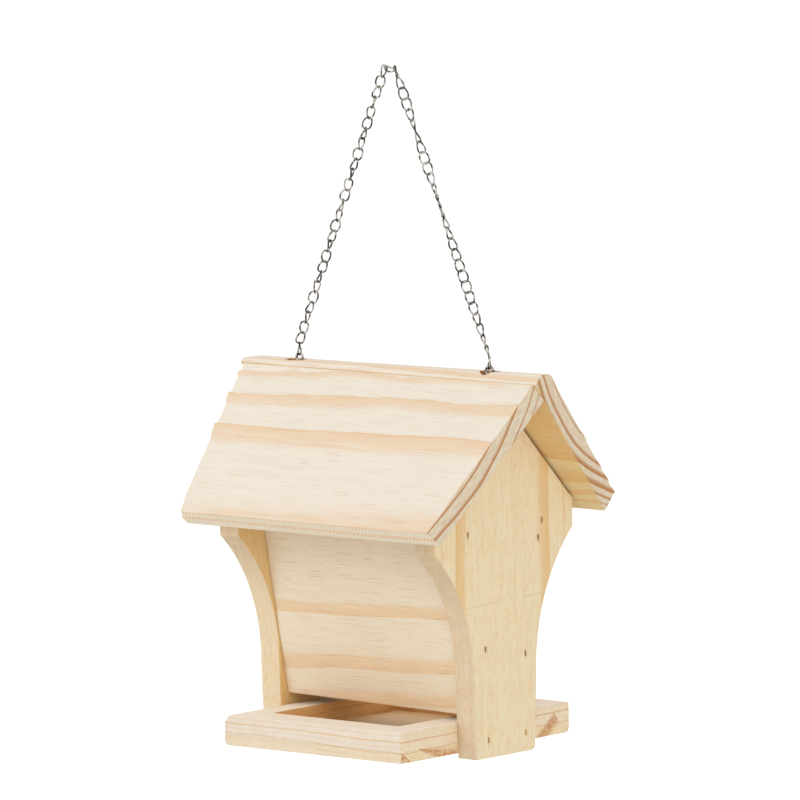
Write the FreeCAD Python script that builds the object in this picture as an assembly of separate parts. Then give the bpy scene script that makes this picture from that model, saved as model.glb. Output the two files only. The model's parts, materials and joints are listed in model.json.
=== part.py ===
import FreeCAD, Part
import math
import os

# A hanging wooden bird feeder. Two shaped gable boards carry a tray and two sloping hopper boards.
# A loose pitched roof sits on the gables. It slides up the chain, so the hopper can be filled.
# X runs along the ridge, Y from front to back and Z up. Z = 0 is the foot of the gables. Millimetres.

os.makedirs("parts", exist_ok=True)
V = FreeCAD.Vector

# Boards
board = 12.0                    # thickness of the gable, hopper and roof boards
tray_thickness = 15.0

# Gable boards
gable_x = 62.0                  # middle plane of each gable
foot_half = 22.4                # half the gable's width at its foot
leg_half = 24.0                 # half its width where the straight leg ends
leg_height = 40.0
curve_front = 84.0              # radius of the hollow curve below the front shoulder
curve_back = 90.0               # the back one is cut a little fuller
shoulder_half = 53.4
shoulder_top = 120.4
apex_flat = 3.0                 # width of the flat that the screw eye stands on

# Tray
tray_front = 65.8               # from the middle of the gables to the tray's front edge
tray_back = 63.6
tray_bottom = 2.5
tray_wall = 16.0                # width of the rim on either side of the seed pocket
pocket_front = 48.0             # from the middle of the gables to the pocket's front wall
pocket_back = 47.0
pocket_depth = 10.0

# Hopper boards
hopper_lean = math.radians(11.2)
hopper_foot_y = 17.8            # outer bottom edge, from the middle
hopper_foot_z = 22.7
hopper_skew = 2.2               # the bottom edge drops this much from left to right
hopper_length = 110.0

# Roof boards, with a square ridge: each slope is 45 degrees
roof_gap = 0.3                  # between the front gable slope and the roof board
roof_shift = 0.8                # the roof sits this much behind the middle of the gables
roof_offset = 1.5               # and this much to the right of the middle of the house
ridge_half = 93.8               # half the roof's length along the sharp ridge
eave_half = 79.5                # and along the front eave
front_overhang = 1.4            # the front board reaches this much further to the left
front_slope = 104.0             # from the sharp ridge down to the front eave
back_slope = 98.0
eave_bevel = 1.6                # the front eave's outer face runs down this much further than its inner one
ridge_flat_left = 6.4           # the sharp ridge is planed down by this much at its left end
ridge_flat_right = 4.2          # and by this much at its right end
eye_hole_diameter = 10.2        # in the ridge, for the screw eyes and the chain
eye_holes_x = (-62.5, 60.8)     # drilled by eye, so not quite over the screw eyes

# Brads, cut from flat wire: a narrow T-shaped head and a chisel point
brad_width = 1.1                # across the grain
brad_depth = 1.2                # of the shank, along the grain
brad_head_length = 2.4          # along the grain
brad_head_thickness = 0.6
brad_point_length = 1.6
brad_length = 22.0
brad_sink = 0.3                 # how far each head is punched below the face
roof_brad_x = (-82.0, -28.0, 28.0, 82.0)
roof_brad_slope = 10.3          # down the back slope from the sharp ridge

# Screw eyes
eye_x = 60.3
eye_wire = 1.3
eye_radius = 2.0                # of the loop's middle line
eye_top = 190.0                 # highest point of the loop
eye_thread_diameter = 2.2
eye_thread_length = 17.0
eye_point_length = 2.5
eye_point_diameter = 0.2

# Chain
link_wire = 0.9
link_width = 5.4                # outside
link_pitch = 5.56
link_play = 0.1                 # free play between two hooked links
links_lower = 9                 # in each strand below its hinge
links_upper = 18

# Values that follow from the dimensions above
root2 = math.sqrt(2.0)
gable_inside = gable_x - board / 2
gable_outside = gable_x + board / 2
gable_apex = shoulder_top + shoulder_half
roof_under_apex = gable_apex + roof_shift + roof_gap * root2
ridge_sharp = roof_under_apex + board * root2
roof_taper = (ridge_half - eave_half) / front_slope
link_bend = (link_width - link_wire) / 2
link_seat = link_wire + link_play
link_half = (link_pitch + link_seat) / 2
eye_wire_z = eye_top - eye_wire / 2
strand_foot_z = eye_wire_z - (eye_wire + link_wire) / 2 - link_play + 2 * link_half
strand_length = (links_lower + links_upper) * link_pitch - link_seat
strand_lean = math.asin((eye_x - link_half) / strand_length)
top_link_z = strand_foot_z + strand_length * math.cos(strand_lean)

parts = {}


def prism(points, push):
    """A solid made by pushing a closed outline of points along a vector."""
    outline = Part.makePolygon(points + [points[0]])
    return Part.Face(outline).extrude(push)


def brad(place, axis, grain):
    """A brad driven in along axis from a place on a face, its head just below it and along the grain."""
    sideways = grain.cross(axis)
    side = [(brad_head_length / 2, 0), (brad_head_length / 2, brad_head_thickness),
            (brad_depth / 2, brad_head_thickness), (brad_depth / 2, brad_length - brad_point_length)]
    other_side = [(-half, depth) for half, depth in reversed(side)]
    corner = place + axis * brad_sink - sideways * (brad_width / 2)
    points = [corner + grain * half + axis * depth
              for half, depth in side + [(0, brad_length)] + other_side]
    return prism(points, sideways * brad_width)


def brad_socket(place, axis, grain):
    """The hole that a brad makes: its own shape and the punched slot above its head."""
    sideways = grain.cross(axis)
    corner = place - sideways * (brad_width / 2) - grain * (brad_head_length / 2)
    mouth = [corner, corner + grain * brad_head_length,
             corner + grain * brad_head_length + axis * brad_sink, corner + axis * brad_sink]
    return brad(place, axis, grain).fuse(prism(mouth, sideways * brad_width))


def curve_points(radius):
    """Middle and upper end of the hollow curve, as half widths and heights, for its radius."""
    centre = leg_half + radius
    rise = math.sqrt(radius ** 2 - (centre - shoulder_half) ** 2)
    turn = math.asin(rise / radius)
    middle = (centre - radius * math.cos(turn / 2), leg_height + radius * math.sin(turn / 2))
    return middle, (shoulder_half, leg_height + rise)


def gable_outline():
    """One gable's outline in the Y-Z plane: legs, hollow curves, shoulders and 45 degree slopes."""
    front_middle, front_end = curve_points(curve_front)
    back_middle, back_end = curve_points(curve_back)
    flat_z = gable_apex - apex_flat / 2
    edges = [
        Part.makeLine(V(0, foot_half, 0), V(0, -foot_half, 0)),
        Part.makeLine(V(0, -foot_half, 0), V(0, -leg_half, leg_height)),
        Part.Arc(V(0, -leg_half, leg_height), V(0, -front_middle[0], front_middle[1]),
                 V(0, -front_end[0], front_end[1])).toShape(),
        Part.makeLine(V(0, -front_end[0], front_end[1]), V(0, -shoulder_half, shoulder_top)),
        Part.makeLine(V(0, -shoulder_half, shoulder_top), V(0, -apex_flat / 2, flat_z)),
        Part.makeLine(V(0, -apex_flat / 2, flat_z), V(0, apex_flat / 2, flat_z)),
        Part.makeLine(V(0, apex_flat / 2, flat_z), V(0, shoulder_half, shoulder_top)),
        Part.makeLine(V(0, shoulder_half, shoulder_top), V(0, back_end[0], back_end[1])),
        Part.Arc(V(0, back_end[0], back_end[1]), V(0, back_middle[0], back_middle[1]),
                 V(0, leg_half, leg_height)).toShape(),
        Part.makeLine(V(0, leg_half, leg_height), V(0, foot_half, 0)),
    ]
    return Part.Wire(edges)


def gable(side):
    """The gable board on the right (side 1) or the left (side -1)."""
    shape = Part.Face(gable_outline()).extrude(V(board, 0, 0))
    shape.translate(V(side * gable_x - board / 2, 0, 0))
    return shape


def hopper_board(side):
    """The sloping board at the front (side -1) or the back (side 1), leaning out towards its top."""
    up = V(0, side * math.sin(hopper_lean), math.cos(hopper_lean))
    inwards = V(0, -side * math.cos(hopper_lean), math.sin(hopper_lean))
    foot = V(0, side * hopper_foot_y, hopper_foot_z)
    half = V(gable_inside, 0, 0)
    outline = [foot - half, foot + half - up * hopper_skew,
               foot + half + up * hopper_length, foot - half + up * hopper_length]
    return prism(outline, inwards * board)


def tray():
    """A solid board between the gables with a rectangular seed pocket milled into it."""
    depth = tray_front + tray_back
    slab = Part.makeBox(2 * gable_inside, depth, tray_thickness,
                        V(-gable_inside, -tray_front, tray_bottom))
    floor_z = tray_bottom + tray_thickness - pocket_depth
    pocket = Part.makeBox(2 * (gable_inside - tray_wall), pocket_front + pocket_back, tray_thickness,
                          V(tray_wall - gable_inside, -pocket_front, floor_z))
    return slab.cut(pocket)


def slope_axes(side):
    """Directions down the slope and into the board, for the front (-1) or back (1) roof board."""
    return V(0, side / root2, -1 / root2), V(0, -side / root2, -1 / root2)


def roof_board(side, top, bottom, overhang=0.0):
    """A roof board between two distances down its slope from the sharp ridge, shorter at the eave.
    An overhang makes it longer at its left end."""
    down, inwards = slope_axes(side)
    ridge = V(roof_offset, roof_shift, ridge_sharp)
    along = V(1, 0, 0)
    corners = []
    for distance, end in ((top, -1), (top, 1), (bottom, 1), (bottom, -1)):
        half = ridge_half - roof_taper * distance + (overhang if end < 0 else 0.0)
        corners.append(ridge + down * distance + along * (end * half))
    return prism(corners, inwards * board)


def eave_cutter():
    """What the front eave's bevel takes off, from just outside the board to just inside it."""
    down, inwards = slope_axes(-1)
    start = V(roof_offset - ridge_half, roof_shift, ridge_sharp)
    lean = eave_bevel / board
    near, far = -1.0, board + 1.0             # depths below the board's outer face
    low = front_slope + 2 * eave_bevel
    side = [(front_slope + eave_bevel - lean * near, near), (low, near),
            (low, far), (front_slope + eave_bevel - lean * far, far)]
    return prism([start + down * distance + inwards * depth for distance, depth in side],
                 V(2 * ridge_half, 0, 0))


def ridge_cutter():
    """Everything above the ridge's planed flat, which is deeper at its left end."""
    left, right = roof_offset - ridge_half - board, roof_offset + ridge_half + board
    middle = ridge_sharp - (ridge_flat_left + ridge_flat_right) / 2
    rise = (ridge_flat_left - ridge_flat_right) / 2 * (1 + board / ridge_half)
    y = roof_shift - board
    return prism([V(left, y, middle - rise), V(right, y, middle + rise),
                  V(right, y, ridge_sharp + board), V(left, y, ridge_sharp + board)],
                 V(0, 2 * board, 0))


def eye_hole(x):
    """The vertical hole through the ridge above one gable."""
    bottom = V(x, 0, gable_apex - board)
    height = ridge_sharp - bottom.z
    return Part.makeCylinder(eye_hole_diameter / 2, height, bottom)


def screw_eye(side):
    """A round loop on a wire neck, with a plain stand-in for the thread in the gable."""
    x = side * eye_x
    centre = V(x, 0, eye_wire_z - eye_radius)
    loop = Part.makeTorus(eye_radius, eye_wire / 2, centre, V(0, 1, 0))
    seat_z = gable_apex - apex_flat / 2
    neck = Part.makeCylinder(eye_wire / 2, centre.z - eye_radius - seat_z, V(x, 0, seat_z))
    thread = Part.makeCylinder(eye_thread_diameter / 2, eye_thread_length,
                               V(x, 0, seat_z - eye_thread_length))
    point = Part.makeCone(eye_point_diameter / 2, eye_thread_diameter / 2, eye_point_length,
                          V(x, 0, seat_z - eye_thread_length - eye_point_length))
    return loop.fuse([neck, thread, point]).removeSplitter()


def plain_link():
    """An oval link in the X-Z plane with its long axis along Z, its middle at the origin."""
    straight = link_half - link_bend
    pieces = []
    for side in (-1, 1):
        rod = Part.makeCylinder(link_wire / 2, 2 * straight, V(side * link_bend, 0, -straight))
        section = Part.Wire(Part.makeCircle(link_wire / 2, V(link_bend, 0, side * straight)))
        bend = Part.Face(section).revolve(V(0, 0, side * straight), V(0, 1, 0), -180 * side)
        pieces += [rod, bend]
    return pieces[0].fuse(pieces[1:]).removeSplitter()


link = plain_link()


def placed_link(middle, lean, turned):
    """A copy of the link. Turned puts its plane across the strand, then lean tips it about Y."""
    copy = link.copy()
    if turned:
        copy.rotate(V(0, 0, 0), V(0, 0, 1), 90)
    copy.rotate(V(0, 0, 0), V(0, 1, 0), math.degrees(lean))
    copy.translate(middle)
    return copy


def strand(side, first, count):
    """Links of one strand, counted up from the eye link, leaning in towards the top link."""
    lean = -side * strand_lean
    direction = V(math.sin(lean), 0, math.cos(lean))
    foot = V(side * eye_x, 0, strand_foot_z)
    solids = []
    for number in range(first, first + count):
        middle = foot + direction * ((number + 1) * link_pitch - link_half)
        solids.append(placed_link(middle, lean, number % 2 == 1))
    return Part.makeCompound(solids)


# Places of the brads on each gable, as (Y, Z) on its outer face
hopper_brad_places = ((-27.4, 110.6), (-15.0, 53.4), (29.6, 112.0), (15.6, 48.1))
extra_brad_place = (26.6, 104.0)          # a second try at the right gable's top back brad
tray_brad_places = ((-13.3, 8.7), (15.2, 9.1))

hopper_sockets = []
tray_sockets = []
up = V(0, 0, 1)
for side, name in ((-1, "left"), (1, "right")):
    inwards = V(-side, 0, 0)
    hopper_places = hopper_brad_places + ((extra_brad_place,) if side == 1 else ())
    hopper_starts = [V(side * gable_outside, y, z) for y, z in hopper_places]
    tray_starts = [V(side * gable_outside, y, z) for y, z in tray_brad_places]
    parts[f"hopper_brads_{name}"] = Part.makeCompound([brad(s, inwards, up) for s in hopper_starts])
    parts[f"tray_brads_{name}"] = Part.makeCompound([brad(s, inwards, up) for s in tray_starts])
    parts[f"screw_eye_{name}"] = screw_eye(side)
    hopper_holes = [brad_socket(s, inwards, up) for s in hopper_starts]
    tray_holes = [brad_socket(s, inwards, up) for s in tray_starts]
    gable_cutters = hopper_holes + tray_holes + [parts[f"screw_eye_{name}"]]
    parts[f"gable_{name}"] = gable(side).cut(gable_cutters)
    hopper_sockets += hopper_holes
    tray_sockets += tray_holes

parts["hopper_front"] = hopper_board(-1).cut(hopper_sockets)
parts["hopper_back"] = hopper_board(1).cut(hopper_sockets)
parts["tray_board"] = tray().cut(tray_sockets)

down, inwards = slope_axes(1)
along = V(1, 0, 0)
roof_starts = [V(roof_offset + x, roof_shift, ridge_sharp) + down * roof_brad_slope for x in roof_brad_x]
roof_sockets = [brad_socket(start, inwards, along) for start in roof_starts]
roof_cutters = roof_sockets + [eye_hole(x) for x in eye_holes_x] + [ridge_cutter()]
front_slab = roof_board(-1, board, front_slope + 2 * eave_bevel, front_overhang)
parts["roof_front"] = front_slab.cut(roof_cutters + [eave_cutter()])
parts["roof_back"] = roof_board(1, 0.0, back_slope).cut(roof_cutters)
parts["roof_brads"] = Part.makeCompound([brad(start, inwards, along) for start in roof_starts])

for side, name in ((-1, "left"), (1, "right")):
    eye_link_middle = V(side * eye_x, 0, strand_foot_z - link_half)
    parts[f"eye_link_{name}"] = placed_link(eye_link_middle, 0.0, True)
    parts[f"chain_{name}_lower"] = strand(side, 0, links_lower)
    parts[f"chain_{name}_upper"] = strand(side, links_lower, links_upper)

top_link = link.copy()
top_link.rotate(V(0, 0, 0), V(0, 1, 0), 90)
top_link.rotate(V(0, 0, 0), V(1, 0, 0), 90)
top_link.translate(V(0, 0, top_link_z))
parts["top_link"] = top_link

for name, shape in parts.items():
    shape.exportStep(f"parts/{name}.step")
    box = shape.BoundBox
    print(f"{name:20s} solids {len(shape.Solids):2d} valid {shape.isValid()} volume {shape.Volume:9.1f}"
          f"  x {box.XMin:7.2f} {box.XMax:7.2f}  y {box.YMin:7.2f} {box.YMax:7.2f}"
          f"  z {box.ZMin:7.2f} {box.ZMax:7.2f}")

roof_lift = strand_foot_z + links_lower * link_pitch - link_seat - (ridge_sharp - ridge_flat_right)
upper_length = links_upper * link_pitch - link_seat
lifted_lean = math.asin((eye_x - link_half) / upper_length)
print(f"eye wire z {eye_wire_z:.3f}, strand foot z {strand_foot_z:.3f}, strand lean"
      f" {math.degrees(strand_lean):.3f}, top link z {top_link_z:.3f}")
print(f"roof can rise {roof_lift:.2f}, the upper strand then leans {math.degrees(lifted_lean):.3f}")
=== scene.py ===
# %% [markdown]
# # A hanging bird feeder in raw pine
#
# The real thing is seven pine boards, a handful of brads, two screw eyes and a length of twisted chain.
# Its construction is already made in CAD and comes in as a fixed frame: every piece at its real size and
# place. This notebook gives the pieces their looks. A board's sharp CAD edges get eased and its soft wood
# worn back, each board is cut from its own imaginary log so that the grain on its faces and its ends agree,
# and the plain chain links of the frame make way for twisted ones.

# %% Load the frame
import json
import math

import bmesh
import bpy
import numpy as np
from mathutils import Euler, Matrix, Vector, noise


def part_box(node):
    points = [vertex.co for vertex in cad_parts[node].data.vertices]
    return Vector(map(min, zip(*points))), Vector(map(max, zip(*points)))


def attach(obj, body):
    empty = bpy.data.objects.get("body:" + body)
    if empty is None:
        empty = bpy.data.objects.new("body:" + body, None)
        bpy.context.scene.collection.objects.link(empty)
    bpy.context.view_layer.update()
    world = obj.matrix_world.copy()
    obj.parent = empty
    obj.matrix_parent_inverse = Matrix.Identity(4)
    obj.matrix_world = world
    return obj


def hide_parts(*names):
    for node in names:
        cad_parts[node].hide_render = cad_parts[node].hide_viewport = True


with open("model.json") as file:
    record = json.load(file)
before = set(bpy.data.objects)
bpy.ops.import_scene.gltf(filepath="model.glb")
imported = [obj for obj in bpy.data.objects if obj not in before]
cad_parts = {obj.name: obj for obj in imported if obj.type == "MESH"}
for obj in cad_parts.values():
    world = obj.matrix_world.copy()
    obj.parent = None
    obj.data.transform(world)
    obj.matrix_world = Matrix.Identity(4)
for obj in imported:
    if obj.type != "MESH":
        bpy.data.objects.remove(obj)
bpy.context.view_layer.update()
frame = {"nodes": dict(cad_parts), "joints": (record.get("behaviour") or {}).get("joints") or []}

scene = bpy.context.scene
mm = 0.001                      # everything in the scene is in metres


def box_of(node):
    """The lowest and the highest corner of a CAD node."""
    return [Vector(corner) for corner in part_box(node)]


def new_object(name, data):
    """An object with this data, put in the scene."""
    made = bpy.data.objects.new(name, data)
    scene.collection.objects.link(made)
    return made


# %% [markdown]
# ## The camera
#
# A long lens from a few metres away keeps the ridge, the eaves and the tray nearly parallel. The camera is
# placed by the direction it looks from, not by hand, so its three axes are built from that direction and
# then turned a little about the line of sight.

# %% Place the camera
view_azimuth = math.radians(39.76)      # to the right of straight in front
view_elevation = math.radians(6.47)
view_roll = math.radians(-0.78)
view_distance = 4.89
aim_height = 0.1695
aim_right = 0.0028
lens_mm = 450.0

towards_camera = Vector((math.sin(view_azimuth) * math.cos(view_elevation),
                         -math.cos(view_azimuth) * math.cos(view_elevation),
                         math.sin(view_elevation)))
level_right = Vector((math.cos(view_azimuth), math.sin(view_azimuth), 0))
level_up = towards_camera.cross(level_right)
camera_right = level_right * math.cos(view_roll) + level_up * math.sin(view_roll)
camera_up = towards_camera.cross(camera_right)
aim = level_right * aim_right + Vector((0, 0, aim_height))

camera = new_object("camera", bpy.data.cameras.new("camera"))
camera.data.lens = lens_mm
camera.data.sensor_width = 36.0
camera.data.clip_end = 50.0
camera.matrix_world = Matrix.Translation(aim + towards_camera * view_distance) @ Matrix(
    (camera_right, camera_up, towards_camera)).transposed().to_4x4()
scene.camera = camera
print("camera at", [round(value, 3) for value in camera.location])

# %% [markdown]
# ## Helpers for node trees
#
# Shaders and Geometry Nodes are both trees of nodes. A node's output is wrapped here in a small class of
# its own, so that a sum such as a * b + 1 adds the Math nodes by itself and the cells below read like plain
# formulas. A node group has named inputs and outputs, so that an effect is built once and used by several
# materials with values of their own.

# %% Node helpers
class Output:
    """What a node puts out. Sums with it add Math nodes to its tree."""

    def __init__(self, socket):
        self.socket = socket
        self.tree = socket.id_data

    def calc(self, operation, *others):
        """A Math node's result."""
        return result(self.tree, "ShaderNodeMath", (self, *others), operation=operation)

    def __add__(self, other):
        return self.calc("ADD", other)

    __radd__ = __add__

    def __sub__(self, other):
        return self.calc("SUBTRACT", other)

    def __mul__(self, other):
        return self.calc("MULTIPLY", other)

    def __truediv__(self, other):
        return self.calc("DIVIDE", other)

    def __abs__(self):
        return self.calc("ABSOLUTE")

    def vector(self, operation, *others, output=0):
        """A Vector Math node's result."""
        return result(self.tree, "ShaderNodeVectorMath", (self, *others), output, operation=operation)

    def parts(self):
        """The three numbers of a vector."""
        return [Output(socket) for socket in add(self.tree, "ShaderNodeSeparateXYZ", [self]).outputs]

    def ramp(self, low, high):
        """0 below low, 1 above high and a smooth step between them. Low may be the greater of the two."""
        return result(self.tree, "ShaderNodeMapRange", {"Value": self, "From Min": low, "From Max": high},
                      "Result", interpolation_type="SMOOTHSTEP")

    def noise(self, scale=5.0, stretch=(1, 1, 1), detail=2.0, roughness=0.5):
        """Noise at a place, from 0 to 1. Its bumps are 1 / (scale * stretch) apart on each axis."""
        return result(self.tree, "ShaderNodeTexNoise", {"Vector": self.vector("MULTIPLY", stretch), "Scale": scale,
                                                        "Detail": detail, "Roughness": roughness})


def plug(value, socket):
    """Wires a node's output into a socket, or sets a plain value on it."""
    if isinstance(value, Output):
        value.tree.links.new(value.socket, socket)
    else:
        socket.default_value = value


def fill(sockets, values):
    """Plugs values into sockets, by position or by name."""
    for key, value in (values.items() if isinstance(values, dict) else enumerate(values)):
        plug(value, sockets[key])


def add(tree, kind, inputs=(), **settings):
    """Adds a node, with its inputs given by position or by name."""
    made = tree.nodes.new(kind)
    for name, value in settings.items():
        setattr(made, name, value)
    fill(made.inputs, inputs)
    return made


def result(tree, kind, inputs=(), output=0, **settings):
    """Adds a node and gives back one of its outputs."""
    return Output(add(tree, kind, inputs, **settings).outputs[output])


def mix_colour(factor, first, second, blend="MIX"):
    """Two colours mixed by a factor."""
    tree = next(item.tree for item in (factor, first, second) if isinstance(item, Output))
    made = add(tree, "ShaderNodeMix", data_type="RGBA", blend_type=blend)
    fill({socket.identifier: socket for socket in made.inputs},
         {"Factor_Float": factor, "A_Color": first, "B_Color": second})
    return Output(next(socket for socket in made.outputs if socket.identifier == "Result_Color"))


def tinted(factor, colour, tint):
    """A colour multiplied by a tint, as much as the factor says."""
    return mix_colour(factor, colour, (*tint, 1), "MULTIPLY")


def shaded(colour, amount):
    """A colour multiplied by a number that a node works out."""
    return mix_colour(1.0, colour, result(colour.tree, "ShaderNodeCombineXYZ", [amount] * 3), "MULTIPLY")


def named_outputs(node):
    """A node's outputs by name."""
    return {socket.name: Output(socket) for socket in node.outputs if socket.name}


def new_group(name, inputs, outputs):
    """Starts a shader node group. Returns its tree, its inputs by name and the sockets of its output node."""
    tree = bpy.data.node_groups.new(name, "ShaderNodeTree")
    for label, value in inputs.items():
        kind = {3: "Vector", 4: "Color"}[len(value)] if isinstance(value, tuple) else "Float"
        socket = tree.interface.new_socket(label, in_out="INPUT", socket_type="NodeSocket" + kind)
        socket.default_value = value
    for label, kind in outputs.items():
        tree.interface.new_socket(label, in_out="OUTPUT", socket_type="NodeSocket" + kind)
    return tree, named_outputs(tree.nodes.new("NodeGroupInput")), tree.nodes.new("NodeGroupOutput").inputs


def use_group(tree, group, **inputs):
    """Places a group in a tree. The keyword late_wood sets its input Late wood, and so on."""
    made = tree.nodes.new("ShaderNodeGroup")
    made.node_tree = group
    for label, value in inputs.items():
        plug(value, made.inputs[label.replace("_", " ").capitalize()])
    return named_outputs(made)


def linear(red, green, blue):
    """A colour given as it looks on a screen, 0 to 255, as the light values that shaders use."""
    values = [channel / 255 for channel in (red, green, blue)]
    return [v / 12.92 if v <= 0.04045 else ((v + 0.055) / 1.055) ** 2.4 for v in values] + [1.0]


white = (1.0, 1.0, 1.0, 1.0)
print("node helpers ready")

# %% [markdown]
# ## The studio
#
# The feeder hangs a hand's breadth above a plain pale floor, in soft light from all around with a large
# soft box in front and above. The world is white to the camera and in reflections. For the light that it
# gives it is dimmer, so that the soft box still shapes the boards.

# %% Floor, world and lights
floor_drop, floor_half, floor_grey = 0.15, 8.0, 0.86
world_light = 0.74              # how much of the white that the camera sees the world gives as light
floor_glow = 0.40               # what the camera and reflections see of the floor, never its light on the feeder

scene.view_settings.view_transform = "Standard"


def seen_rays(tree):
    """1 for rays that look at a surface: the camera's own and those in reflections and glass."""
    path = named_outputs(add(tree, "ShaderNodeLightPath"))
    return path["Is Camera Ray"].calc("MAXIMUM", path["Is Glossy Ray"].calc("MAXIMUM", path["Is Transmission Ray"]))


def new_material(name):
    """A material, its node tree and the inputs of its Principled shader."""
    material = bpy.data.materials.new(name)
    material.use_nodes = True
    return material, material.node_tree, material.node_tree.nodes["Principled BSDF"].inputs


world = bpy.data.worlds.new("studio")
world.use_nodes = True
scene.world = world
background = world.node_tree.nodes["Background"].inputs
background["Color"].default_value = white
plug(seen_rays(world.node_tree) * (1 - world_light) + world_light, background["Strength"])

floor_mesh = bpy.data.meshes.new("floor")
floor_mesh.from_pydata([(x * floor_half, y * floor_half, -floor_drop)
                        for x, y in ((-1, -1), (1, -1), (1, 1), (-1, 1))], [], [(0, 1, 2, 3)])
floor = new_object("floor", floor_mesh)
floor_paint, floor_tree, surface = new_material("pale floor")
fill(surface, {"Base Color": (floor_grey, floor_grey, floor_grey, 1), "Roughness": 0.7, "Emission Color": white,
               "Emission Strength": seen_rays(floor_tree) * floor_glow})
floor_mesh.materials.append(floor_paint)


def soft_box(name, place, size, power, colour=(1, 1, 1)):
    """A square area light that faces the middle of the feeder."""
    light = bpy.data.lights.new(name, "AREA")
    light.size = size
    light.energy = power
    light.color = colour
    made = new_object(name, light)
    made.location = place
    made.rotation_euler = (aim - Vector(place)).to_track_quat("-Z", "Y").to_euler()


soft_box("key", (-0.62, -1.12, 0.86), 0.8, 4.1)
soft_box("side fill", (1.7, -0.5, 0.55), 1.2, 5.2, (1.0, 0.97, 0.9))
soft_box("back fill", (-0.7, 1.7, 0.8), 1.2, 2.8)
soft_box("left glint", (-1.6, -1.2, 0.9), 0.16, 0.9)      # small and bright, for the metal's highlights
soft_box("right glint", (1.2, -1.7, 1.1), 0.16, 0.9)
print("a floor, a world, three soft boxes and two small glints")

# %% [markdown]
# ## Boards cut from a log
#
# Flat-sawn pine shows broad tan bands on its faces and thin red-brown arcs on its ends. They are the same
# thing: shells of dense late wood round the heart of the tree, cut at a shallow angle by the face and
# squarely by the end. So each board gets a place in a log, given by how far across the board the heart lies
# and how far above the face. The depth of a growth ring below the face is then a parabola across the board,
# flatter on its far side where the log is not round, and stretched a little by waves along it. The same
# formula runs twice, here in numpy to shape the mesh, and below as nodes to colour it, and so the raised
# bands and the tan bands fall in one place.

# %% Board class
ring_low, ring_high = -6.0, 34.0        # range of ring depths that a chart of late wood covers, in mm
# Each wave's size, its turns per mm along and across the board, and its share of the board's phase.
wave_kinds = ((0.050, 1 / 155, -1 / 70, 1.0), (0.022, 1 / 64, 1 / 45, 1.7), (0.010, 1 / 29, -1 / 25, 2.3))


class Board:
    """A board's axes, its place in the log and its chart of growth rings, with distances in mm."""

    def __init__(self, node, grain, depth, heart_across, heart_height, rings, **log):
        self.node = node
        self.grain = Vector(grain)
        self.depth = Vector(depth)
        self.across = self.depth.cross(self.grain)
        self.log = {"heart_across": heart_across, "heart_height": heart_height, "far_side": 1.0, "far_turn": 0.0,
                    "skew": 0.0, "taper": 0.0, "waviness": 1.0, "phase": 0.0, **log}
        self.axes = np.array([self.grain, self.across, self.depth])
        corners = np.array([vertex.co for vertex in frame["nodes"][node].data.vertices]) @ self.axes.T / mm
        low, high = corners.min(axis=0), corners.max(axis=0)
        self.start = np.array([(low[0] + high[0]) / 2, low[1], low[2]])
        self.size = high - low
        self.ends = []                  # how far the ends reach, at the board's low side and at its high side
        for side in (low[1], high[1]):
            reach = corners[np.abs(corners[:, 1] - side) < 0.5, 0] - self.start[0]
            self.ends.append((reach.min(), reach.max()))
        self.chart = [(ring_low, 0.0)]
        for edge, width, strength in rings:
            self.chart += [(edge - width, 0.0), (edge - 0.72 * width, 0.58 * strength),
                           (edge - 0.2, 0.82 * strength), (edge - 0.04, strength), (edge + 0.05, 0.0)]
        self.chart.append((ring_high, 0.0))

    def place(self, points):
        """Where points lie on the board: along the grain, across it and below the face."""
        return np.asarray(points) @ self.axes.T / mm - self.start

    def ring_depth(self, place):
        """How deep the ring that passes through a place lies under the face, right below the heart."""
        log = self.log
        along, across, depth = place.T
        wave = sum(size * np.sin(2 * math.pi * (along * a + across * b) + log["phase"] * c)
                   for size, a, b, c in wave_kinds)
        off_heart = across - log["heart_across"] - log["skew"] * along / 100
        off_heart *= np.where(off_heart > 0, log["far_side"] + log["far_turn"] * along / 100, 1)
        shell = depth + off_heart ** 2 / (2 * log["heart_height"])
        return shell * (1 + log["taper"] * along / 100 + log["waviness"] * wave)

    def late_wood(self, place):
        """How much of the wood is late wood there, from 0 to 1."""
        edges, amounts = zip(*self.chart)
        return np.interp(self.ring_depth(place), edges, amounts)


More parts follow.
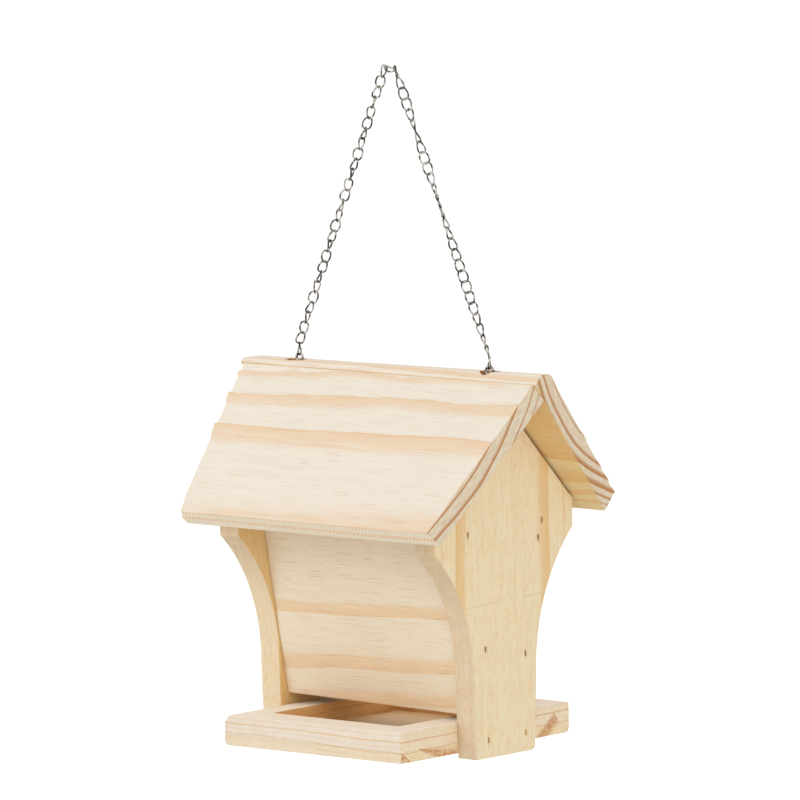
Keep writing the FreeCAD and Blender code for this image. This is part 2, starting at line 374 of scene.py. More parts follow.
lean = math.radians(11.2)               # of the hopper boards, from upright
slant = math.sqrt(0.5)                  # the roof boards lie at 45 degrees
boards = {board.node: board for board in (
    Board("roof_front", (1, 0, 0), (0, slant, -slant), 60.3, 117,
          [(2.33, 1.6, 0.9), (8.58, 2.7, 0.9), (15.0, 1.7, 0.85), (19.2, 1.5, 0.8)],
          far_side=0.48, far_turn=0.18, skew=0.42, taper=-0.166, waviness=0.78, phase=-0.106),
    Board("roof_back", (-1, 0, 0), (0, -slant, -slant), 31.8, 106,
          [(2.68, 1.4, 0.85), (9.3, 2.8, 0.9), (14.2, 3.4, 0.95), (19.8, 4.0, 0.95), (24.0, 2.4, 0.9),
           (27.2, 1.5, 0.8)], far_side=0.96, taper=0.05, waviness=0.63, phase=7.04),
    Board("gable_right", (0, 0, 1), (-1, 0, 0), 52.6, 120,
          [(0.5, 0.2, 0.2), (1.3, 0.2, 0.2), (5.4, 2.5, 0.95), (9.6, 1.2, 0.5), (13.0, 1.2, 0.5),
           (18.0, 1.5, 0.5)], taper=0.03, waviness=0.5, phase=0.4),
    Board("gable_left", (0, 0, 1), (1, 0, 0), 60, 130,
          [(0.8, 0.3, 0.2), (4.0, 1.6, 0.7), (8.6, 1.4, 0.6), (13.5, 1.6, 0.5)],
          taper=-0.05, waviness=0.7, phase=3.3),
    Board("hopper_front", (1, 0, 0), (0, math.cos(lean), math.sin(lean)), 20, 140,
          [(2.6, 0.3, 0.2), (4.4, 0.3, 0.2), (7.5, 2.4, 0.9), (14.2, 0.6, 0.15),
           (19.6, 4.8, 0.9), (30.5, 5.5, 0.85)], taper=0.14, waviness=0.35, phase=5.0),
    Board("hopper_back", (-1, 0, 0), (0, -math.cos(lean), math.sin(lean)), 66, 125,
          [(1.2, 0.7, 0.6), (5.0, 1.4, 0.8), (9.0, 1.6, 0.8), (15.0, 2.0, 0.8)],
          taper=0.08, waviness=0.8, phase=0.9),
    Board("tray_board", (1, 0, 0), (0, 0, -1), 90, 2600,
          [(1.9, 0.8, 0.6), (4.9, 1.1, 0.85), (7.2, 0.8, 0.45), (9.9, 0.9, 0.8), (12.6, 1.4, 0.5)],
          taper=-0.12, waviness=1.2, phase=1.9),
)}
for board in boards.values():
    print(board.node, "measures", [round(float(value), 1) for value in board.size], "mm")

# %% [markdown]
# ## From CAD mesh to eased board
#
# A CAD mesh is exact and lifeless: a few long triangles with razor edges. A copy of it is merged into whole
# flat faces, its long edges are bevelled, and then it is sliced by parallel planes, so that there are enough
# points to move. Slicing keeps every hole and curve of the construction where it is, which a remesh would
# blur. Last, the points move inwards only, so that the board never outgrows its CAD size: soft early wood
# sinks between the bands of a brushed face, and the rounded edges get small dents.

# %% Board mesh helpers
weld = 0.002 * mm                       # points of a CAD mesh that are nearer than this are one point
on_plane = 0.004 * mm                   # points nearer than this to a cutting plane lie on it
shortest_eased_edge = 2.5 * mm          # keeps the bevel off the brad slots and the rims of round holes
edge_angle = math.radians(30)
relief_depth = 1.6                      # how far below its face a board is still worn, in mm
end_reach = 9                           # and how far in from its ends
large_dents, small_dents = 9 * mm, 2.5 * mm


def whole_faces(node):
    """A copy of a CAD node's mesh as a bmesh of whole flat faces."""
    shape = bmesh.new()
    shape.from_mesh(frame["nodes"][node].data)
    bmesh.ops.remove_doubles(shape, verts=shape.verts, dist=weld)
    bmesh.ops.dissolve_limit(shape, angle_limit=math.radians(0.4), verts=shape.verts, edges=shape.edges)
    return shape


def round_edges(shape, edges, radius, segments=3):
    """Rounds some edges by a radius in mm."""
    bmesh.ops.bevel(shape, geom=edges, offset=radius * mm, offset_type="OFFSET", segments=segments, profile=0.5,
                    affect="EDGES", clamp_overlap=True)


def corner_edges(shape, place, axis):
    """The edges parallel to an axis whose other two coordinates are those of a place in mm."""
    found = []
    for edge in shape.edges:
        first, second = (vertex.co / mm for vertex in edge.verts)
        away = [max(abs(first[i] - place[i]), abs(second[i] - place[i])) for i in range(3) if i != axis]
        if abs(first[axis] - second[axis]) > 2 and max(away) < 0.05:
            found.append(edge)
    return found


def ease_edges(shape, radius):
    """Rounds a board's long sharp edges by a radius in mm."""
    round_edges(shape, [edge for edge in shape.edges if edge.is_manifold
                        and edge.calc_face_angle(0) > edge_angle
                        and edge.calc_length() > shortest_eased_edge], radius)


def slice_board(shape, board, *steps):
    """Cuts the board by planes along it, across it and below its face, at steps in mm."""
    for axis, step in enumerate(steps):
        normal = Vector(board.axes[axis])
        length = board.size[axis]
        count = round(length / step)
        first = board.start[axis] - (length / 2 if axis == 0 else 0)
        for number in range(1, count):
            reach = (first + length * number / count) * mm
            bmesh.ops.bisect_plane(shape, geom=shape.verts[:] + shape.edges[:] + shape.faces[:], dist=on_plane,
                                   plane_co=normal * reach, plane_no=normal)


def smooth_step(value):
    """0 below 0, 1 above 1 and a smooth step between them."""
    value = np.clip(value, 0, 1)
    return value * value * (3 - 2 * value)


def wear(shape, board, relief, end_wear, dent):
    """Sinks early wood by relief, shortens it at its two ends by end_wear and dents eased edges, in mm."""
    shape.normal_update()
    vertices = list(shape.verts)
    place = board.place([vertex.co for vertex in vertices])
    along, across, depth = place.T
    sink = relief * (1 - board.late_wood(place)) * smooth_step(1 - depth / relief_depth)
    share = across / board.size[1]
    shorter = 0
    for end, amount in enumerate(end_wear):
        reach = board.ends[0][end] * (1 - share) + board.ends[1][end] * share
        near_end = smooth_step(1 - np.abs(along - reach) / end_reach)
        eave_corner = 1 + 0.7 * smooth_step((share - 0.85) / 0.15)
        shorter = shorter + (amount if end == 0 else -amount) * eave_corner * near_end
    early_above = 1 - board.late_wood(place * (1, 1, 0))
    shorter = shorter * early_above * smooth_step(1.15 - depth / 7)
    for vertex, deeper, moved in zip(vertices, sink, shorter):
        if vertex.calc_shell_factor() > 1.02:               # only points on an edge have a factor above 1
            rough = noise.noise(vertex.co / large_dents) + 0.5 * noise.noise(vertex.co / small_dents)
            vertex.co -= vertex.normal * max(0.0, rough) * dent * mm
        vertex.co += board.depth * float(deeper) * mm + board.grain * float(moved) * mm


def to_object(shape, name, material):
    """Makes an object of a bmesh: smooth faces, with only its true edges sharp."""
    mesh = bpy.data.meshes.new(name)
    shape.to_mesh(mesh)
    shape.free()
    mesh.shade_smooth()
    mesh.set_sharp_from_angle(angle=math.radians(38))
    mesh.materials.append(material)
    return new_object(name, mesh)


print("edges sharper than", round(math.degrees(edge_angle)), "degrees get eased")


# %% [markdown]
# ## Shader groups for pine
#
# Three effects make raw pine, and each is a group that every board uses. *Growth rings* repeats the log
# formula. *Pine surface* turns an amount of late wood into colour: cream early wood, tan bands, long fibres,
# short brown resin flecks and a few dark specks on the faces, and a greyer, porous look with red-brown
# lines on the sawn ends. *Stain* darkens the wood round a brad. All of them work in millimetres on the
# board, along the grain, across it and below the face.

# %% Growth rings group
rings_tree, given, rings_out = new_group(
    "Growth rings",
    {"Place": (0, 0, 0), "Heart across": 50.0, "Heart height": 140.0, "Far side": 1.0, "Far turn": 0.0,
     "Skew": 0.0, "Taper": 0.0, "Waviness": 1.0, "Phase": 0.0},
    {"Chart place": "Float"})
along, across, below = given["Place"].parts()
wave_sum = sum((along * (2 * math.pi * a) + across * (2 * math.pi * b) + given["Phase"] * c).calc("SINE") * size
               for size, a, b, c in wave_kinds)
hundreds = along * 0.01
off_heart = across - (hundreds * given["Skew"] + given["Heart across"])
far_side = hundreds * given["Far turn"] + given["Far side"]
off_heart = off_heart.calc("MAXIMUM", 0) * far_side + off_heart.calc("MINIMUM", 0)
shell = off_heart * off_heart / (given["Heart height"] * 2) + below
stretch = wave_sum * given["Waviness"] + hundreds * given["Taper"] + 1
fray = (given["Place"].noise(stretch=(0.05, 0.9, 0.9), detail=3) - 0.5) * 0.3
plug((shell * stretch + fray - ring_low) / (ring_high - ring_low), rings_out["Chart place"])
print("growth rings:", len(rings_tree.nodes), "nodes")

# %% Pine surface group
pine_tree, given, pine_out = new_group(
    "Pine surface",
    {"Place": (0, 0, 0), "Late wood": 0.0, "End grain": 0.0, "Sawn edge": 0.0, "Early colour": white,
     "Late colour": white, "End colour": white, "Ring colour": white, "Streaks": 0.5, "Flecks": 0.5, "Seed": 0.0},
    {"Colour": "Color", "Roughness": "Float", "Height": "Float"})
late_wood = given["Late wood"]
shift = result(pine_tree, "ShaderNodeCombineXYZ", [given["Seed"], given["Seed"], 0])
moved = given["Place"].vector("ADD", shift)
speck_colour = linear(120, 96, 72)
band_edge_tint = (0.97, 0.91, 0.74)
knife_pitch = 2.2                       # mm between the marks of a planer's knives
knife_slant = 0.80                      # how far they run along the board for each mm below its face


def grain(stretch, detail=3, roughness=0.55):
    """Noise stretched along the grain."""
    return moved.noise(stretch=stretch, detail=detail, roughness=roughness)


def swing(value, size):
    """A value round one half made into a factor round one."""
    return (value - 0.5) * size + 1


fibres = grain((0.02, 0.95, 0.95), 2)
threads = grain((0.007, 0.26, 0.26), 3, 0.6)
tone = grain((0.005, 0.05, 0.05), 2)
patches = grain((0.012, 0.045, 0.045), 1).ramp(0.38, 0.56)
streaks = abs(grain((0.011, 0.30, 0.30)) - 0.5).ramp(0.026, 0.003) * given["Streaks"]
flecks = grain((0.011, 1.1, 1.1), 0).ramp(0.69, 0.77) * patches * given["Flecks"]
spots = result(pine_tree, "ShaderNodeTexVoronoi",
               {"Vector": moved.vector("MULTIPLY", (0.035, 0.045, 0.045)), "Scale": 1.0}, "Distance")
specks = spots.ramp(0.020, 0.008) * given["Flecks"]
feather = (threads - 0.5) * 1.3 + late_wood
band = (feather.ramp(0.30, 0.70) * 0.5 + late_wood * 0.5) * swing(fibres, 0.35)

face = mix_colour(band, given["Early colour"], given["Late colour"])
face = tinted(late_wood.ramp(0.74, 0.88) * 0.8, face, band_edge_tint)
face = mix_colour(streaks * 0.7, face, given["Late colour"])
face = shaded(face, swing(threads, 0.06) * swing(tone, 0.10) * swing(fibres, 0.03))
face = mix_colour(flecks * 0.55, face, given["Ring colour"])
face = mix_colour(specks * 0.6, face, speck_colour)

pores = grain((0.8, 1.6, 1.6), 2, 0.6)
rays = grain((0.3, 1.0, 0.5), 1).ramp(0.42, 0.60)
ray_zone = grain((0.05, 0.05, 0.22), 1).ramp(0.40, 0.58)
ring_line = ((pores - 0.5) * 0.35 + late_wood).ramp(0.46, 0.72)
end = mix_colour(rays * ray_zone * 0.40, given["End colour"], given["Ring colour"])
end = mix_colour(ring_line * 0.9, end, given["Ring colour"])
end = shaded(end, swing(pores, 0.16) * swing(rays, 0.08))

along, _, below = moved.parts()
knife_turn = (below * knife_slant + along) * (2 * math.pi / knife_pitch) + grain((0.03, 0.02, 0.02), 1) * 7
knife_marks = knife_turn.calc("SINE") * given["Sawn edge"]
face_height = fibres * 0.010 + late_wood * 0.03
end_height = pores * 0.10 + ring_line * 0.05
fill(pine_out, {
    "Colour": shaded(mix_colour(given["End grain"], face, end), knife_marks * 0.05 + 1),
    "Roughness": given["End grain"] * 0.15 + fibres * 0.18 + 0.52,
    "Height": (end_height - face_height) * given["End grain"] + face_height + knife_marks * 0.015})
print("pine surface:", len(pine_tree.nodes), "nodes")

# %% Stain group
stain_tree, given, stain_out = new_group("Stain", {"Place": (0, 0, 0), "Centre": (0, 0, 0), "Reach": 2.0},
                                         {"Mask": "Float"})
offset = given["Place"].vector("SUBTRACT", given["Centre"]).vector("MULTIPLY", (0.45, 1.0, 1.0))
blotch = given["Place"].noise(stretch=(0.4, 1.1, 1.1), detail=3)
span = offset.vector("LENGTH", output="Value") + blotch * 1.4
plug((span / given["Reach"]).ramp(1.0, 0.35), stain_out["Mask"])
print("stain:", len(stain_tree.nodes), "nodes")

# %% [markdown]
# ## A material for each board
#
# Each board gets a material of its own, because its place in the log is its own. A Mapping node turns the
# object's metres into the board's millimetres, the rings group finds the place on the chart, and a colour
# ramp holds the chart itself. Marks that only some boards have come after the shared groups: the wedges of
# darker wood on the tray's end, fine drawn lines on a gable, stains round brads, a painted shadow line under
# a small step on the tray's front, and painted shade and bounce light on the boards' faces inside the house
# and underneath. The Principled shader stays here in the material, with its steady values set on its own
# sockets.

# %% Masks for single marks
def wedge(place, tip, low, high, near, far):
    """A mask between two angles in degrees and two distances in mm from a tip, seen on a board's end."""
    _, across, below = place.vector("SUBTRACT", tip).parts()
    angle = below.calc("ARCTAN2", across).calc("DEGREES")
    reach = (across * across + below * below).calc("SQRT")
    inside = angle.ramp(low - 1, low + 1) * angle.ramp(high + 1, high - 0.45 * (high - low))
    return inside * reach.ramp(near - 1, near) * reach.ramp(far, far - 2)


def stroke(place, start, end, width):
    """A thin drawn line on a board's face, between two places along and across it."""
    start, end = Vector(start).to_3d(), Vector(end).to_3d()
    axis, length = (end - start).normalized(), (end - start).length
    off = place.vector("SUBTRACT", tuple(start))
    forward = off.vector("DOT_PRODUCT", tuple(axis), output="Value")
    aside = off.vector("DOT_PRODUCT", (-axis.y, axis.x, 0), output="Value")
    return abs(aside).ramp(width, 0.4 * width) * forward.ramp(0, 3) * forward.ramp(length, length - 3)


def largest(masks):
    """The largest of some masks."""
    whole, *others = masks
    for mask in others:
        whole = whole.calc("MAXIMUM", mask)
    return whole


def brad_places(board, *nodes):
    """Where the heads of brads lie on a board, read from their CAD solids."""
    found = []
    for node in nodes:
        shape = bmesh.new()
        shape.from_mesh(frame["nodes"][node].data)
        bmesh.ops.remove_doubles(shape, verts=shape.verts, dist=weld)
        waiting = set(shape.verts)
        while waiting:
            island, edge_of_island = set(), [waiting.pop()]
            while edge_of_island:
                vertex = edge_of_island.pop()
                island.add(vertex)
                new = {edge.other_vert(vertex) for edge in vertex.link_edges} & waiting
                waiting -= new
                edge_of_island += new
            place = board.place([vertex.co for vertex in island])
            found.append(place[place[:, 2] < 1.0].mean(axis=0))
        shape.free()
    return found


print("masks for wedges, strokes and stains")

# %% Pine materials
pine_looks = {
    "roof": dict(early=(243, 233, 217), late=(239, 208, 174), end=(233, 219, 193), ring=(190, 126, 62)),
    "gable": dict(early=(241, 225, 190), late=(233, 194, 138), end=(228, 208, 174), ring=(190, 130, 74)),
    "hopper": dict(early=(243, 229, 205), late=(239, 206, 164), end=(224, 206, 176), ring=(200, 146, 92)),
    # The tray's early wood is lighter than the other boards' to lift its top out of the roof's shade: painted light,
    # which its tint across the board takes back off its front and back
    "tray": dict(early=(251, 241, 228), late=(240, 208, 166), end=(243, 227, 198), ring=(224, 170, 112)),
}
# The first is the colour of a painted shadow line under a small step on the tray's front
step_shadow_colour, burnt_colour, wedge_colour = linear(206, 176, 138), linear(230, 184, 130), linear(200, 130, 80)
stroke_colour, stain_colour = linear(158, 140, 118), linear(206, 146, 76)
milled_tint, wall_tint = (0.95, 0.79, 0.56), (0.88, 0.72, 0.54)
stain_reach = 2.4


def pine(name, board, look, streaks, flecks, warmth, seed, brads=(), sawn=0.0, edge_rings=1.0, edge_tint=None,
         inner=(0.93, 0.80, 0.48), burnt_end=0.0, wedges=(), strokes=(), lower_layer=None, milled=0.0):
    """The material of one board, or with milled of its drilled and milled walls."""
    material, tree, surface = new_material(name)
    coordinates = named_outputs(add(tree, "ShaderNodeTexCoord"))
    place = result(tree, "ShaderNodeMapping",
                   {"Vector": coordinates["Object"], "Scale": (1 / mm,) * 3,
                    "Rotation": Matrix(board.axes.tolist()).to_euler(),
                    "Location": [-float(value) for value in board.start]})
    ring = use_group(tree, rings_tree, place=place, **board.log)["Chart place"]
    chart = add(tree, "ShaderNodeValToRGB", [ring])
    stops = chart.color_ramp.elements
    stops.remove(stops[0])
    stops[0].position, stops[0].color = 0.0, (0, 0, 0, 1)
    for edge, amount in board.chart[1:-1]:
        stops.new((edge - ring_low) / (ring_high - ring_low)).color = (amount, amount, amount, 1)

    def towards(axis):
        """How much a face looks along one of the board's axes, from -1 to 1."""
        return coordinates["Normal"].vector("DOT_PRODUCT", tuple(axis), output="Value")

    def faces_along(axis, low, high):
        """A mask of the faces that look either way along one of the board's axes."""
        return abs(towards(axis)).ramp(low, high)

    edge_faces = faces_along(board.across, 0.7, 0.9)
    sawn_faces = towards(board.across).ramp(0.7, 0.9)
    edge_walls = faces_along(board.depth, 0.6, 0.3)
    late = Output(chart.outputs["Color"]) * (edge_faces * (edge_rings - 1) + 1)
    wood = use_group(tree, pine_tree, place=place, late_wood=late, end_grain=faces_along(board.grain, 0.30, 0.75),
                     sawn_edge=sawn_faces * sawn, streaks=streaks, flecks=flecks, seed=seed,
                     **{f"{key}_colour": linear(*value) for key, value in pine_looks[look].items()})
    # Painted shade and bounce light: the board's back faces, inside the house, under the roof and under the tray, get
    # a darker, warmer tint
    colour = tinted(towards(board.depth).ramp(0.6, 0.9) * warmth, wood["Colour"], inner)
    # Faces that look across the board get a mottled tint: on the roof's eave a yellower colour of its own, on the
    # gables' front edges a pinker colour of their own with painted shade, and on the tray's front and back painted
    # shade that sets them darker than its top
    if edge_tint:
        mask = (sawn_faces if sawn else edge_faces) * (place.noise(0.16, detail=3) * 1.2 + 0.3)
        colour = tinted(mask, colour, edge_tint)
    # The tray's lower layer has a yellower colour of its own; the line at its border is a painted shadow under a
    # small step
    if lower_layer:
        border, tint = lower_layer
        below = place.parts()[2]
        colour = tinted(edge_walls * below.ramp(border, border + 0.4), colour, tint)
        line = faces_along(board.grain, 0.6, 0.3) * abs(below - border).ramp(0.5, 0.15)
        colour = mix_colour(line * 0.3, colour, step_shadow_colour)
    if burnt_end:
        arris = towards((1, 0, 0)).ramp(0.12, 0.4) * faces_along(board.grain, 0.98, 0.85)
        colour = mix_colour(arris * towards(board.depth).ramp(-0.15, -0.4) * burnt_end, colour, burnt_colour)
    if wedges:
        mask = largest([wedge(place, *values) for values in wedges]) * place.noise(0.9).ramp(0.22, 0.56)
        colour = mix_colour(mask * towards(board.grain).ramp(0.7, 0.9) * 0.8, colour, wedge_colour)
    if strokes:
        mask = largest([stroke(place, *values) for values in strokes]) * towards(board.depth).ramp(-0.8, -0.95)
        colour = mix_colour(mask * 0.28, colour, stroke_colour)
    if brads:
        mask = largest([use_group(tree, stain_tree, place=place, centre=tuple(map(float, centre)),
                                  reach=stain_reach)["Mask"] for centre in brads])
        colour = mix_colour(mask * 0.7, colour, stain_colour)
    if milled:
        colour = tinted(edge_walls * milled, tinted(milled, colour, milled_tint), wall_tint)
    bump = result(tree, "ShaderNodeBump", {"Height": wood["Height"], "Strength": 0.8, "Distance": mm})
    fill(surface, {"Base Color": colour, "Roughness": wood["Roughness"], "Normal": bump, "Specular IOR Level": 0.14})
    return material


print("pine in", len(pine_looks), "looks")

# %% [markdown]
# ## The boards
#
# Every board goes through the same steps with its own numbers. The roof was brushed, so its soft wood sinks
# by almost half a millimetre and the bands stand proud, enough to step the outline of its ends. The others
# were only planed and sanded.

# %% Plans for the boards
# painted shade and bounce light on the gables' inner faces
gable_inside_shade = (0.95, 0.77, 0.46)       # the tint of the gables' inner faces
roof_plan = dict(look="roof", slot="roof_pine", body="roof", easing=0.22, steps=(2.0, 0.7, 1.5), relief=0.40,
                 dent=0.08, finish=dict(streaks=0.5, flecks=0.9, warmth=0.9, sawn=1.0, burnt_end=0.6,
                                        edge_tint=(1.0, 0.98, 0.91)))
gable_plan = dict(look="gable", slot="gable_pine", body="house", easing=0.5, steps=(2.4, 2.4, 3), relief=0.04,
                  dent=0.2, finish=dict(streaks=1.6, flecks=0.3, warmth=0.7, edge_rings=0.35, inner=gable_inside_shade,
                                        edge_tint=(0.90, 0.86, 0.90)))
# The hopper boards' back faces, inside the house, get a strong dark painted shade
hopper_plan = dict(look="hopper", slot="hopper_pine", body="house", easing=0.5, steps=(2.8, 2.2, 3), relief=0.04,
                   dent=0.2, finish=dict(streaks=0.3, flecks=1.5, warmth=1.0, inner=(0.60, 0.38, 0.19)))
tray_plan = dict(look="tray", slot="tray_pine", body="house", easing=0.7, steps=(2.0, 1.8, 1.5), relief=0.03,
                 dent=0.3, finish=dict(streaks=0.3, flecks=0.3, warmth=0.6, lower_layer=(9.7, (1.0, 0.965, 0.86)),
                                       edge_tint=(0.89, 0.85, 0.79)))
milled_finish = dict(burnt_end=0.0, lower_layer=None, streaks=1.5, flecks=2.0)

foot_y = 22.4
tray_end, tray_back_y, tray_top, tray_under = 56.0, 63.6, 17.5, 2.5
# A corner is a place on an edge, the axis along the edge and a radius. A stroke is its two ends and its width.
# A wedge is its tip, the angles of its two sides and the distances from its tip at which it starts and stops.
board_plans = {
    "roof_front": {**roof_plan, "end_wear": (1.9, 0.2), "seed": 11.0},
    "roof_back": {**roof_plan, "end_wear": (0.5, 0.2), "seed": 173.0, "brads": ("roof_brads",)},
    "gable_right": {**gable_plan, "seed": 37.0, "brads": ("hopper_brads_right", "tray_brads_right"),
                    "corners": (((0, foot_y, 0), 0, 3.0),),
                    "strokes": (((-11.4, 22.9), (-10.5, 52.6), 0.3), ((-10.2, 65.8), (-9.6, 83.6), 0.3))},
    "gable_left": {**gable_plan, "seed": 259.0, "brads": ("hopper_brads_left", "tray_brads_left"),
                   "finish": {**gable_plan["finish"], "edge_tint": (1.0, 0.98, 1.0)},
                   "corners": (((0, foot_y, 0), 0, 2.0),)},
    "hopper_front": {**hopper_plan, "seed": 71.0},
    "hopper_back": {**hopper_plan, "seed": 331.0},
    "tray_board": {**tray_plan, "seed": 97.0,
                   "corners": (((-tray_end, 0, tray_top), 1, 3.4), ((-tray_end, 0, tray_under), 1, 2.6),
                               ((0, tray_back_y, tray_top), 0, 1.6), ((0, tray_back_y, tray_under), 0, 2.4)),
                   "wedges": (((0, 117.2, 9.0), 158.0, 176.0, 0, 36), ((0, 121.3, 15.2), -36.0, 0.0, 0, 10),
                              ((0, -43.7, -36.5), 36.5, 41.0, 69, 90))},
}
print(len(board_plans), "boards planned")

# %% Make the boards
hole_reach = 5.3 * mm                   # a little more than a ridge hole's radius
hole_shifts = (("left", -2.2 * mm), ("right", 0.5 * mm))    # how far right of its screw eye each hole lies
pocket_low, pocket_high = Vector((-40.1, -48.1, 7.0)) * mm, Vector((40.1, 47.1, 17.3)) * mm
hole_middles = [sum(box_of(f"screw_eye_{side}"), Vector()) / 2 + Vector((shift, 0, 0)) for side, shift in hole_shifts]


def is_milled(node, face):
    """True for a wall of a drilled hole in the roof or of the tray's pocket."""
    middle = face.calc_center_median()
    if node == "tray_board":
        return all(pocket_low[i] < middle[i] < pocket_high[i] for i in range(3))
    return node.startswith("roof") and abs(face.normal.z) < 0.3 and any(
        (middle - hole).xy.length < hole_reach for hole in hole_middles)


for node, plan in board_plans.items():
    board = boards[node]
    shape = whole_faces(node)
    for place, axis, radius in plan.get("corners", ()):
        round_edges(shape, corner_edges(shape, place, axis), radius, 5)
    ease_edges(shape, plan["easing"])
    slice_board(shape, board, *plan["steps"])
    shape.normal_update()
    for face in shape.faces:
        face.material_index = 1 if is_milled(node, face) else 0
    milled_faces = sum(face.material_index for face in shape.faces)
    wear(shape, board, plan["relief"], plan.get("end_wear", (0, 0)), plan["dent"])
    marks = {key: plan[key] for key in ("wedges", "strokes") if key in plan}
    brads = brad_places(board, *plan.get("brads", ()))
    piece = to_object(shape, f"{node}_wood",
                      pine(f"{node} pine", board, plan["look"], seed=plan["seed"], brads=brads, **marks,
                           **plan["finish"]))
    if milled_faces:
        piece.data.materials.append(pine(f"{node} milled pine", board, plan["look"], seed=plan["seed"], milled=0.85,
                                         **{**plan["finish"], **milled_finish}))
    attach(piece, plan["body"])
    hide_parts(node)
    print(piece.name, len(piece.data.polygons), "faces,", milled_faces, "of them milled")

# %% [markdown]
# ## Metal
#
# The chain and the eyes are thin plated wire, bright where they catch the studio. The white studio gives
# them nothing dark to mirror, so one group paints dark, rougher patches into their colour: partly tarnish,
# partly painted dark reflections. Each metal uses it with its own colours. The brads are plain iron that has
# gone brown in its slots.

# %% Group for tarnish and painted reflections, and metal materials
tarnish_and_reflection_tree, given, tarnish_and_reflection_out = new_group(
    "Tarnish and painted reflections", {"Clean colour": white, "Dull colour": white, "Patch size": 1.0, "Dullness": 0.5},
    {"Colour": "Color", "Roughness": "Float", "Height": "Float"})
where = result(tarnish_and_reflection_tree, "ShaderNodeTexCoord", output="Object").vector("MULTIPLY", (1 / mm,) * 3)
patch_scale = result(tarnish_and_reflection_tree, "ShaderNodeMath", [1.0, given["Patch size"]], operation="DIVIDE")
fine = where.noise(4.0, detail=4)
# Dark, rougher patches: tarnish and painted dark reflections
dark_reflection_and_tarnish = where.noise(patch_scale, detail=1).ramp(0.38, 0.62) * given["Dullness"]
fill(tarnish_and_reflection_out, {"Colour": mix_colour(dark_reflection_and_tarnish, given["Clean colour"], given["Dull colour"]),
                   "Roughness": fine * 0.12 + dark_reflection_and_tarnish * 0.25 + 0.16, "Height": fine * 0.02})


def metal(name, clean, dull_colour, patch, dullness):
    """A metal with uneven patches of tarnish and painted dark reflection, so many mm across."""
    material, tree, surface = new_material(name)
    finish = use_group(tree, tarnish_and_reflection_tree, clean_colour=linear(*clean), dull_colour=linear(*dull_colour),
                       patch_size=patch, dullness=dullness)
    bump = result(tree, "ShaderNodeBump", {"Height": finish["Height"], "Distance": mm})
    fill(surface, {"Metallic": 1.0, "Base Color": finish["Colour"], "Roughness": finish["Roughness"], "Normal": bump})
    return material


# The chain's and the eyes' dark patches are mostly painted dark reflections; the brads' are brown rust
chain_metal = metal("plated chain", (178, 174, 167), (50, 46, 40), 2.2, 0.95)
eye_metal = metal("plated eye", (196, 191, 181), (84, 76, 64), 2.0, 0.95)
brad_metal = metal("brown iron", (206, 158, 100), (120, 84, 52), 14.0, 1.0)
for node in ("roof_brads", "hopper_brads_left", "hopper_brads_right", "tray_brads_left", "tray_brads_right"):
    mesh = frame["nodes"][node].data
    mesh.materials.clear()
    mesh.materials.append(brad_metal)
print("three metals")

# %% [markdown]
# ## Screw eyes
#
# A screw eye is one wire: a pointed, threaded shank that bends into a ring and stops just short of closing.
# It is swept along its own path, because a ring stuck on a stick would miss the bend at the neck. The
# thread is a second sweep, a thin ridge wound round the shank.

# %% Sweep helper and screw eyes
def sweep(shape, path, radii, sides=10):
    """Adds a closed tube to a bmesh: round sections of given radii at the points of a path."""
    path = [Vector(point) for point in path]
    across = Vector((0, 1, 0))
    rings = []
    for number, point in enumerate(path):
        ahead = (path[min(number + 1, len(path) - 1)] - path[max(number - 1, 0)]).normalized()
        across = (across - ahead * across.dot(ahead)).normalized()
        other = ahead.cross(across)
        rings.append([shape.verts.new(point + (across * math.cos(turn) + other * math.sin(turn)) * radii[number])
                      for turn in (2 * math.pi * side / sides for side in range(sides))])
    for first, second in zip(rings, rings[1:]):
        for side in range(sides):
            after = (side + 1) % sides
            shape.faces.new((first[side], first[after], second[after], second[side]))
    shape.faces.new(reversed(rings[0]))
    shape.faces.new(rings[-1])


def screw_eye(node, yaw):
    """One eye inside its CAD node's box, turned about its shank by yaw."""
    low, high = box_of(node)
    wire, ring, neck_bend = 1.3 * mm, 2.0 * mm, 0.9 * mm
    core, thread, pitch = 0.72 * mm, 0.80 * mm, 1.15 * mm       # the shank's radius, the thread's and its pitch
    centre = Vector(((low.x + high.x) / 2, (low.y + high.y) / 2, high.z - ring - wire / 2))
    tip = low.z - centre.z
    shank_foot, shank_top, shank_points = tip + 2.6 * mm, -ring - neck_bend, 6
    path = [(0, 0, tip + 0.1 * mm), (0, 0, tip + 2.4 * mm)]
    radii = [0.12 * mm, core]
    for step in range(shank_points):
        share = step / (shank_points - 1)
        path.append((0, 0, shank_foot * (1 - share) + shank_top * share))
        radii.append(core if step < shank_points - 3 else wire / 2)
    steps = 44
    for step in range(1, steps + 1):
        turn = math.radians(-90 + 338 * step / steps)
        eased = min(1.0, step / 5)
        reach = ring * (0.90 + 0.10 * eased)
        path.append((reach * math.cos(turn) * eased, 0, reach * math.sin(turn)))
        radii.append(wire / 2)
    shape = bmesh.new()
    sweep(shape, path, radii)
    ridge, ridge_radii = [], []
    turns, per_turn = 11, 16
    for step in range(turns * per_turn + 1):
        done = step / per_turn
        turn = 2 * math.pi * done
        ridge.append((thread * math.cos(turn), thread * math.sin(turn), shank_foot + pitch * done))
        ridge_radii.append((0.05 + 0.22 * min(1.0, done, turns - done)) * mm)
    sweep(shape, ridge, ridge_radii, 6)
    bmesh.ops.recalc_face_normals(shape, faces=shape.faces)
    shape.transform(Matrix.Translation(centre) @ Matrix.Rotation(yaw, 4, "Z"))
    piece = to_object(shape, f"{node}_wire", eye_metal)
    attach(piece, "house")
    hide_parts(node)
    return piece


for node, yaw in (("screw_eye_left", math.radians(-4)), ("screw_eye_right", math.radians(20))):
    print(screw_eye(node, yaw).name, "made")

